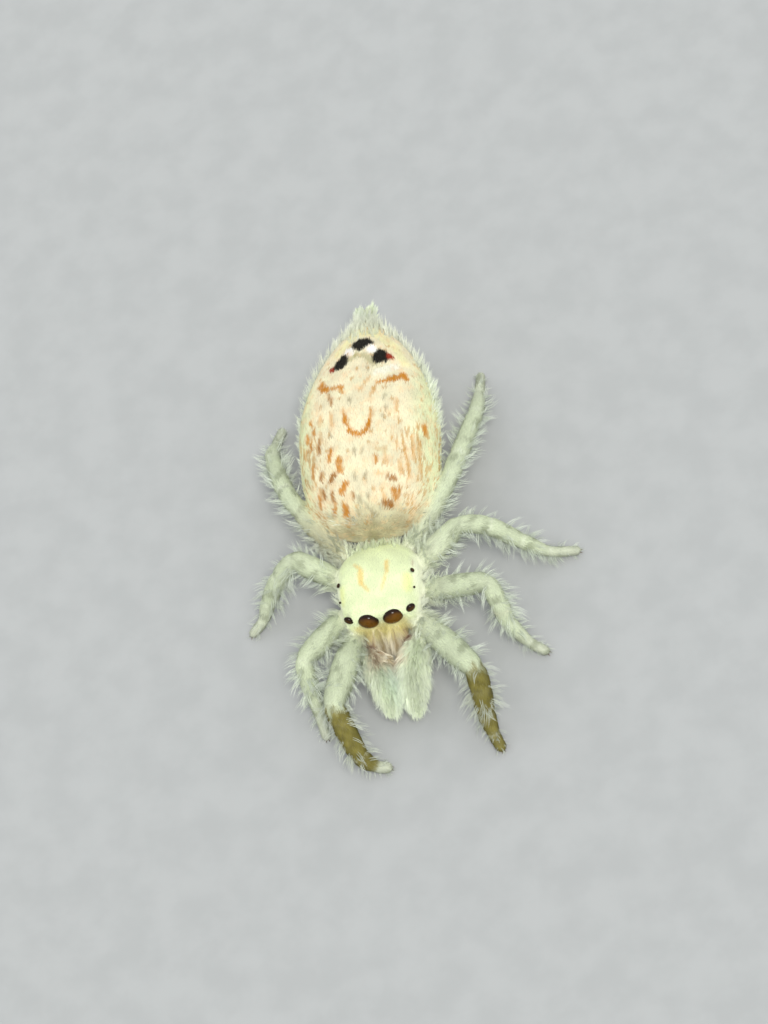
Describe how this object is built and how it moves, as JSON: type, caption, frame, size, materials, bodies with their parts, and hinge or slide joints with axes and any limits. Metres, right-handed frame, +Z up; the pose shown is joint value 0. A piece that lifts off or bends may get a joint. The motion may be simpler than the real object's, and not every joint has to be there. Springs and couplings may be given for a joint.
{
  "type": "jumping spider",
  "caption": "Life-size still jumping spider, pale and hairy, with an oval cream abdomen marked in orange and black, standing on its feet.",
  "frame": {"origin": "on the floor, below the middle of the box round the whole spider", "axes": "the spider faces -Y, its left side is towards +X, and +Z is up"},
  "size_m": [0.0058, 0.0088, 0.0019],
  "materials": {
    "head_fur": "short pale yellow fur",
    "abdomen_fur": "short cream fur with orange and black marks",
    "pale_leg_fur": "pale grey-green skin with long white hairs",
    "olive_leg_fur": "olive-brown skin with pale hairs",
    "white_brush": "dense soft white hair",
    "eye_lens": "glossy dark reddish-brown lens",
    "jaw": "satin pinkish-brown shell"
  },
  "bodies": {
    "root": {"abdomen": "abdomen_fur", "cephalothorax": "head_fur", "chelicera_left": "jaw", "chelicera_right": "jaw", "eye_front_middle_left": "eye_lens", "eye_front_middle_right": "eye_lens", "eye_front_side_left": "eye_lens", "eye_front_side_right": "eye_lens", "eye_rear_side_left": "eye_lens", "eye_rear_side_right": "eye_lens", "eye_small_side_left": "eye_lens", "eye_small_side_right": "eye_lens", "leg_left_1_femur": "pale_leg_fur", "leg_left_1_foot": "olive_leg_fur", "leg_left_1_tibia": "olive_leg_fur", "leg_left_2_femur": "pale_leg_fur", "leg_left_2_foot": "pale_leg_fur", "leg_left_2_tibia": "pale_leg_fur", "leg_left_3_femur": "pale_leg_fur", "leg_left_3_foot": "pale_leg_fur", "leg_left_3_tibia": "pale_leg_fur", "leg_left_4_femur": "pale_leg_fur", "leg_left_4_foot": "pale_leg_fur", "leg_left_4_tibia": "pale_leg_fur", "leg_right_1_femur": "pale_leg_fur", "leg_right_1_foot": "olive_leg_fur", "leg_right_1_tibia": "olive_leg_fur", "leg_right_2_femur": "pale_leg_fur", "leg_right_2_foot": "pale_leg_fur", "leg_right_2_tibia": "pale_leg_fur", "leg_right_3_femur": "pale_leg_fur", "leg_right_3_foot": "pale_leg_fur", "leg_right_3_tibia": "pale_leg_fur", "leg_right_4_femur": "pale_leg_fur", "leg_right_4_foot": "pale_leg_fur", "leg_right_4_tibia": "pale_leg_fur", "palp_left": "white_brush", "palp_right": "white_brush", "pedicel": "abdomen_fur", "spinnerets": "white_brush"}
  },
  "joints": []
}
